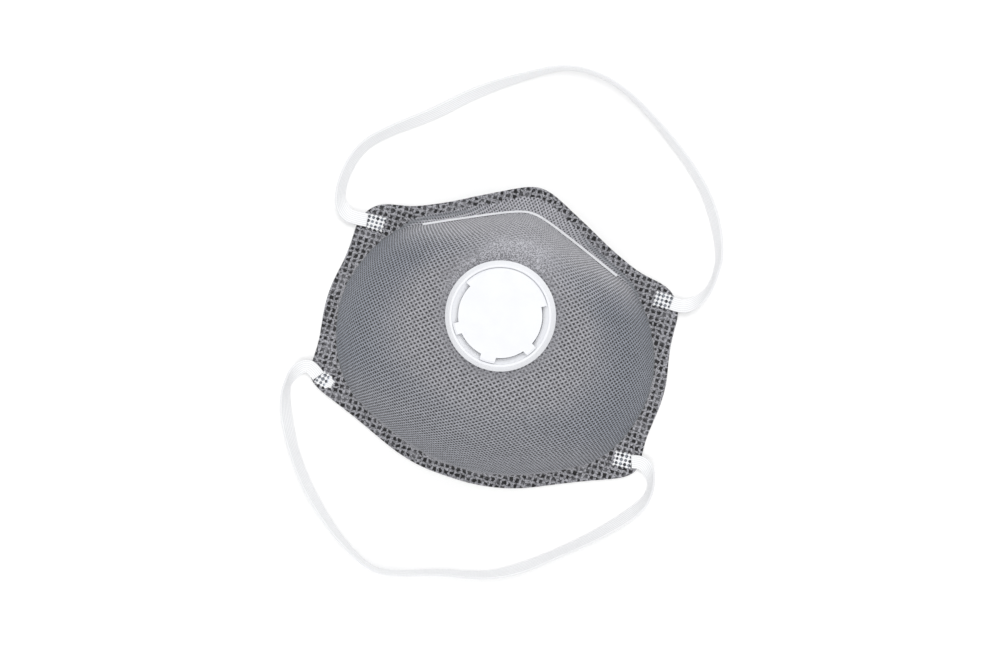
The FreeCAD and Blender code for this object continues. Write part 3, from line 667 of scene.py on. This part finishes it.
WELD_LENGTH = 6.6 * MM
WELD_WIDTH = 5.2 * MM
WELD_LEVEL = 1.36 * MM
WELD_PITCH = 1.62 * MM
WELD_THICKNESS = 0.45 * MM
WELD_ROUGHNESS = 0.05 * MM
PIT_DEPTH = 0.82
FIRST_COLUMN = 2.65 * MM
WELD_GRID = (64, 80)

# Centre in millimetres, heading of the band in degrees, seed, and whether its inner end melted.
WELDS = {
    "upper_left": ((-55.6, 26.9), 180.0, 3, False),
    "upper_right": ((55.2, 29.0), 0.0, 11, False),
    "lower_left": ((-57.0, -34.7), 165.0, 23, True),
    "lower_right": ((57.4, -31.8), 3.0, 31, False),
}


def waffle(seed, melted):
    """Stamped patch of melted tape, in its own frame with the band leaving along +X."""
    chance = np.random.default_rng(seed)
    rows, columns = WELD_GRID
    u, v = np.meshgrid(np.linspace(-1, 1, columns), np.linspace(-1, 1, rows))
    ragged = blurred(chance.normal(0, 1, (rows, columns)), 3.0, 1, False)
    ragged = blurred(ragged, 3.0, 0, False)
    ragged /= np.abs(ragged).max()
    x = u * WELD_LENGTH / 2 * (1 + 0.04 * ragged)
    y = v * WELD_WIDTH / 2 * (1 + 0.06 * ragged)

    # pits in a square net, each with a size of its own
    column_wave = np.cos(TURN * (x - FIRST_COLUMN) / WELD_PITCH)
    row_wave = np.cos(TURN * y / WELD_PITCH)
    sizes = chance.uniform(-0.20, 0.20, (9, 9))
    size = sizes[np.rint(y / WELD_PITCH).astype(int) + 4,
                 np.rint((x - FIRST_COLUMN) / WELD_PITCH).astype(int) + 4]
    pits = smooth_step((column_wave + row_wave) / 2 + 0.25 * ragged + size, -0.02, 0.30)

    # scalloped outline, drawn in between the pits
    y *= 1 - 0.09 * column_wave * v ** 6
    x *= 1 - 0.07 * row_wave * np.where(u < 0, u ** 6, 0)
    if melted:
        y *= 1 - 0.50 * smooth_step(-u, 0.25, 1.0)
        pits *= smooth_step(u + 0.3 * ragged, -0.45, 0.05)
    rim = np.minimum(1 - np.abs(u), 1 - np.abs(v))
    height = WELD_THICKNESS * (1 - PIT_DEPTH * pits) + WELD_ROUGHNESS * ragged
    height *= smooth_step(rim, -0.02, 0.07)
    vertices = np.stack([x, y, height], -1).reshape(-1, 3)
    return vertices, grid_faces(rows, columns, False), pits.ravel()


for place, (centre, heading, seed, melted) in WELDS.items():
    vertices, faces, pits = waffle(seed, melted)
    turn = math.radians(heading)
    spin = np.array([(math.cos(turn), math.sin(turn), 0), (-math.sin(turn), math.cos(turn), 0),
                     (0, 0, 1)])
    placed = vertices @ spin + np.array((centre[0] * MM, centre[1] * MM, WELD_LEVEL))
    patch = new_piece("stamped_end_" + place, placed, faces, ELASTIC)
    vector_attribute(patch, "tape", vertices / MM)
    float_attribute(patch, "pit", pits)
    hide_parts("strap_weld_" + place)

# ------------------------------------------------------------------ cover web

# Heights of the flange's upper face and of the web's underside, how far above the flange the cup
# begins, and the radius where the cover begins, out of sight under the valve.
VALVE_CENTRE = np.array((0.0, 6.9 * MM))
FLANGE_TOP = 1.34 * MM
COVER_UNDERSIDE = 1.16 * MM
FOOT_RISE = 0.10 * MM
HIDDEN_EDGE = 18.0 * MM

# The cover's grid: columns round the valve axis, rows outwards, and ray casts along a column.
COLUMNS = 1024
DOME_ROWS = 146
FLANGE_ROWS = 28
SAMPLES = 300
RAYS_FROM_SIDE = 120.0 * MM
RAYS_FROM_TOP = 80.0 * MM

# How the cloth was drawn over the mould, in millimetres of run from the valve axis.
WALL_STRETCH = 0.06
STRETCH_START = 26.0
SIDE_EASE = 2.6
SIDE_EASE_AT, SIDE_EASE_SPREAD = 46.0, 13.0

# The patch above the valve where the bond points are rubbed away, its middle and spread, and a
# painted highlight in a ring round the valve.
WORN_AT, WORN_SPREAD = (2.0, 31.0), (15.0, 6.5)
VALVE_RING_HIGHLIGHT_AT, VALVE_RING_HIGHLIGHT_WIDTH, VALVE_RING_HIGHLIGHT_SHARE = 20.5, 1.5, 0.5
WORN_ABOVE_AT, WORN_ABOVE_WIDTH, WORN_ABOVE_SHARE = 22.0, 4.0, 0.6
WORN_ABOVE_ANGLE = math.radians(118)
MOST_WEAR_AND_HIGHLIGHT = 0.85

# The width of the painted shade band at the foot of the side walls and of the painted light band at
# the foot of the chin, and how far the flange's net reaches up the wall there.
FOOT_WIDTH = 2.4
NET_UP_WALL = 1.8
NET_SHORT_AT_NOSE = 0.7

# Relief of the cover: bond points, the flange's net, the lip round the valve, the rounded rim.
BOND_RELIEF = 0.045 * MM
NET_RELIEF = 0.11 * MM
LIP_RELIEF, LIP_AT, LIP_WIDTH = 0.10 * MM, 22.5, 0.8
RIM_RELIEF, RIM_ROWS = 0.10 * MM, 3

# Where the web bulges out to the nose clip: from this Y on, between these heights, over at most
# this gap, and stopping just short of the clip.
CLIP_FROM_Y = 26.0 * MM
CLIP_BOTTOM = 1.84 * MM
CLIP_TOP = 9.6 * MM
CLIP_GAP = 1.2 * MM
CLIP_CLEARANCE = 0.04 * MM


def cup_profiles(node):
    """Height of the cup along rays out of the valve axis: angles, reaches and heights."""
    mesh = nodes[node].data
    tree = BVHTree.FromPolygons([v.co for v in mesh.vertices], [p.vertices for p in mesh.polygons])
    angles = np.arange(COLUMNS) * TURN / COLUMNS
    level = (FLANGE_TOP + COVER_UNDERSIDE) / 2
    rims = np.empty(COLUMNS)
    reaches = np.empty((COLUMNS, SAMPLES))
    heights = np.empty((COLUMNS, SAMPLES))
    for index, angle in enumerate(angles):
        way = Vector((math.cos(angle), math.sin(angle), 0))
        centre = Vector((*VALVE_CENTRE, level))
        hit = tree.ray_cast(centre + way * RAYS_FROM_SIDE, -way)[0]
        rims[index] = (hit - centre).length
    rims = blurred(rims, 2.0, 0, True)
    for index, angle in enumerate(angles):
        reaches[index] = np.linspace(HIDDEN_EDGE, rims[index] - 0.03 * MM, SAMPLES)
        for sample, reach in enumerate(reaches[index]):
            spot = (VALVE_CENTRE[0] + reach * math.cos(angle),
                    VALVE_CENTRE[1] + reach * math.sin(angle), RAYS_FROM_TOP)
            hit = tree.ray_cast(Vector(spot), Vector((0, 0, -1)))[0]
            heights[index, sample] = hit.z if hit else FLANGE_TOP
    heights = blurred(blurred(heights, 3.0, 0, True), 1.6, 1, False)
    return angles, reaches, heights


def resampled(angles, reaches, heights):
    """Cover's grid with even spacing over the dome, then over the flange."""
    steps = np.hypot(np.diff(reaches, axis=1), np.diff(heights, axis=1))
    run = np.concatenate([np.zeros((COLUMNS, 1)), np.cumsum(steps, axis=1)], axis=1)
    feet = np.array([np.interp(-(FLANGE_TOP + FOOT_RISE), -heights[i], run[i])
                     for i in range(COLUMNS)])
    feet = blurred(feet, 2.0, 0, True)
    reach_grid = np.empty((DOME_ROWS + FLANGE_ROWS, COLUMNS))
    height_grid = np.empty_like(reach_grid)
    run_grid = np.empty_like(reach_grid)
    for i in range(COLUMNS):
        dome = np.linspace(0, feet[i], DOME_ROWS, endpoint=False)
        flange = np.linspace(feet[i], run[i, -1], FLANGE_ROWS)
        run_grid[:, i] = np.concatenate([dome, flange])
        reach_grid[:, i] = np.interp(run_grid[:, i], run[i], reaches[i])
        height_grid[:, i] = np.interp(run_grid[:, i], run[i], heights[i])
    return reach_grid, height_grid, run_grid + HIDDEN_EDGE


def bulge_to_clip(places, normal):
    """How far the web stands out of its CAD face to meet the nose clip that it is glued to."""
    mesh = nodes["nose_clip_strip"].data
    tree = BVHTree.FromPolygons([v.co for v in mesh.vertices], [p.vertices for p in mesh.polygons])
    near = (places[..., 1] > CLIP_FROM_Y) & (places[..., 2] > CLIP_BOTTOM)
    near &= places[..., 2] < CLIP_TOP
    bulge = np.zeros(places.shape[:2])
    for row, column in zip(*np.nonzero(near)):
        out = Vector((normal[row, column, 0], normal[row, column, 1], 0)).normalized()
        hit = tree.ray_cast(Vector(places[row, column]), out, CLIP_GAP)
        if hit[0]:
            bulge[row, column] = max(hit[3] - CLIP_CLEARANCE, 0)
    soft = blurred(blurred(bulge, 2.0, 1, True), 1.0, 0, False)
    return np.where(bulge > 0, np.minimum(bulge, soft), soft * 0.5)


def outward_normals(places):
    """Directions out of the cup at each place of the grid."""
    along = np.gradient(places, axis=0)
    around = np.roll(places, -1, 1) - np.roll(places, 1, 1)
    normal = np.cross(around, along)
    normal /= np.linalg.norm(normal, axis=2)[..., None]
    return normal * np.sign(normal[..., 2:3] + 1e-9)


def drawn_cloth(way, run):
    """The web's own coordinates in millimetres, as it was drawn over the mould."""
    drawn_out = WALL_STRETCH * np.maximum(run - STRETCH_START, 0)
    eased = SIDE_EASE * way[None, :, 0] ** 2 * np.exp(
        -((run - SIDE_EASE_AT) / SIDE_EASE_SPREAD) ** 2)
    return way[None] * (run - drawn_out + eased)[..., None]


def wear_and_highlight_share(angles, places, run):
    """How far the bond points are rubbed away by wear, and taken out in the painted highlight round
    the valve.
    """
    plan = places[..., :2] / MM
    wear_and_highlight = np.exp(-(((plan[..., 0] - WORN_AT[0]) / WORN_SPREAD[0]) ** 2
                    + ((plan[..., 1] - WORN_AT[1]) / WORN_SPREAD[1]) ** 2))
    # Painted highlight: a lighter ring round the valve, with no bond points.
    wear_and_highlight += VALVE_RING_HIGHLIGHT_SHARE * np.exp(-((run - VALVE_RING_HIGHLIGHT_AT) / VALVE_RING_HIGHLIGHT_WIDTH) ** 2)
    above = WORN_ABOVE_SHARE * smooth_step(np.cos(angles - WORN_ABOVE_ANGLE), 0.45, 0.95)
    wear_and_highlight += above[None] * np.exp(-((run - WORN_ABOVE_AT) / WORN_ABOVE_WIDTH) ** 2)
    return np.clip(wear_and_highlight, 0, MOST_WEAR_AND_HIGHLIGHT)


def to_net_edge(way, run):
    """Distance from the stamped net's inner edge, in millimetres up the cup."""
    at_nose = smooth_step(way[:, 1], 0.10, 0.65)
    reach = NET_UP_WALL - (NET_UP_WALL + NET_SHORT_AT_NOSE) * at_nose
    return run[DOME_ROWS][None] - run - reach


def foot_shade_and_light(way, to_net, flange):
    """Painted bands along the foot of the cup: shade at the sides, and light at the chin."""
    foot = smooth_step(FOOT_WIDTH - to_net, 0, 1.2) * (1 - flange)
    side = foot * smooth_step(np.abs(way[:, 0]), 0.35, 0.65)
    side *= 1 - smooth_step(-way[:, 1], 0.55, 0.75)
    chin = foot * smooth_step(-way[:, 1], 0.60, 0.85)
    return np.stack([side, chin, np.zeros_like(foot)], -1)


def cover_relief(places, cloth, run, row, flange, wear_and_highlight):
    """Height of the web's relief over its CAD face."""
    lattice = np.cos(TURN * cloth[..., 0] / BOND_ACROSS) * np.cos(TURN * cloth[..., 1] / BOND_ALONG)
    net = np.minimum(np.cos(TURN * places[..., 0] / (ANVIL_PITCH * MM)),
                     np.cos(TURN * places[..., 1] / (ANVIL_PITCH * MM)))
    relief = -BOND_RELIEF * lattice * (1 - flange) * (1 - wear_and_highlight) - NET_RELIEF * net * flange
    relief += LIP_RELIEF * np.exp(-((run - LIP_AT) / LIP_WIDTH) ** 2)
    rim = np.clip((row - (len(row) - 1 - RIM_ROWS)) / RIM_ROWS, 0, 1)
    return relief - RIM_RELIEF * rim ** 2


def cover():
    """The cup's outer web, from under the valve out to the flange's rim and down its edge."""
    angles, reaches, heights = cup_profiles("outer_cover_web")
    reach, height, run = resampled(angles, reaches, heights)
    run /= MM
    way = np.stack([np.cos(angles), np.sin(angles)], -1)
    places = np.empty(reach.shape + (3,))
    places[..., :2] = VALVE_CENTRE + way[None] * reach[..., None]
    places[..., 2] = height
    normal = outward_normals(places)
    cloth = drawn_cloth(way, run)
    row = np.arange(reach.shape[0])[:, None]
    flange = smooth_step(row - DOME_ROWS, -2, 3)
    wear_and_highlight = wear_and_highlight_share(angles, places, run) * (1 - flange)
    to_net = to_net_edge(way, run)
    edge = smooth_step(-to_net, -1.2, 1.0)
    attributes = {
        "cloth": np.concatenate([cloth, np.zeros_like(cloth[..., :1])], -1),
        "zones": np.stack([edge, wear_and_highlight, 1 - normal[..., 2]], -1),
        "feet": foot_shade_and_light(way, to_net, flange),
    }
    places += normal * cover_relief(places, cloth, run, row, flange, wear_and_highlight)[..., None]
    places += normal * bulge_to_clip(places, normal)[..., None]
    lower = places[-1:].copy()
    lower[..., 2] = COVER_UNDERSIDE
    vertices = np.concatenate([places, lower]).reshape(-1, 3)
    piece = new_piece("cup_cover", vertices, grid_faces(len(row) + 1, COLUMNS, True), COVER)
    for name, values in attributes.items():
        vector_attribute(piece, name, np.concatenate([values, values[-1:]]))
    mesh = bmesh.new()
    mesh.from_mesh(piece.data)
    bmesh.ops.recalc_face_normals(mesh, faces=mesh.faces)
    mesh.to_mesh(piece.data)
    mesh.free()
    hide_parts("outer_cover_web")


cover()

# ------------------------------------------------------------------ diaphragm

DISC_RADIUS = 13.4 * MM
DISC_RINGS = 14
DISC_COLUMNS = 96
DISC_THICKNESS = 0.4 * MM
HINGE_Z = 45.25 * MM


def diaphragm():
    """One flat rubber disc; the joint's line runs across it."""
    share = np.concatenate([np.linspace(0.02, 0.97, DISC_RINGS), [1.0, 1.0, 0.97],
                            np.linspace(0.9, 0.02, DISC_RINGS)])
    level = np.concatenate([np.ones(DISC_RINGS), [0.5, -0.5, -1.0], -np.ones(DISC_RINGS)])
    angle = np.arange(DISC_COLUMNS) * TURN / DISC_COLUMNS
    x = share[:, None] * DISC_RADIUS * np.cos(angle)
    y = share[:, None] * DISC_RADIUS * np.sin(angle) + VALVE_CENTRE[1]
    z = np.broadcast_to(level[:, None] * (DISC_THICKNESS / 2) + HINGE_Z, x.shape)
    vertices = np.stack([x, y, z], -1).reshape(-1, 3)
    faces = grid_faces(len(share), DISC_COLUMNS, True).tolist()
    last = (len(share) - 1) * DISC_COLUMNS
    faces.append(list(range(DISC_COLUMNS))[::-1])
    faces.append([last + index for index in range(DISC_COLUMNS)])
    disc = new_piece("diaphragm_disc", vertices, faces, rubber_material(), body=None)
    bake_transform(disc)
    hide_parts("diaphragm_root", "diaphragm_flap")


diaphragm()

# ------------------------------------------------------------------ nose foam

FOAM_CELL = 0.35 * MM


def nose_foam():
    """Foam strip with soft edges and an open-cell skin."""
    pad = nodes["nose_foam"].copy()
    pad.data = nodes["nose_foam"].data.copy()
    for key in list(pad.keys()):
        del pad[key]
    pad.name = "foam_pad"
    pad.parent = None
    bpy.context.scene.collection.objects.link(pad)
    remesh = pad.modifiers.new("cells", "REMESH")
    remesh.mode = "VOXEL"
    remesh.voxel_size = FOAM_CELL
    soften = pad.modifiers.new("soften", "SMOOTH")
    soften.factor = 0.5
    soften.iterations = 8
    bpy.context.view_layer.update()
    shape = bpy.data.meshes.new_from_object(
        pad.evaluated_get(bpy.context.evaluated_depsgraph_get()))
    pad.modifiers.clear()
    pad.data = shape
    shape.materials.clear()
    shape.materials.append(foam_material())
    shape.polygons.foreach_set("use_smooth", [True] * len(shape.polygons))
    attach(pad, "mask")
    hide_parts("nose_foam")


nose_foam()

# ------------------------------------------------------------------ moulded edges

# Radius of the moulded edges, in millimetres, and the angle from which an edge is rounded.
EDGES = {"valve_body": 0.25, "valve_cap": 0.22, "valve_clamp_ring": 0.15, "nose_clip_strip": 0.15}
SHARP = math.radians(35)

for node, width in EDGES.items():
    rounding = nodes[node].modifiers.new("edges", "BEVEL")
    rounding.width = width * MM
    rounding.segments = 2
    rounding.limit_method = "ANGLE"
    rounding.angle_limit = SHARP
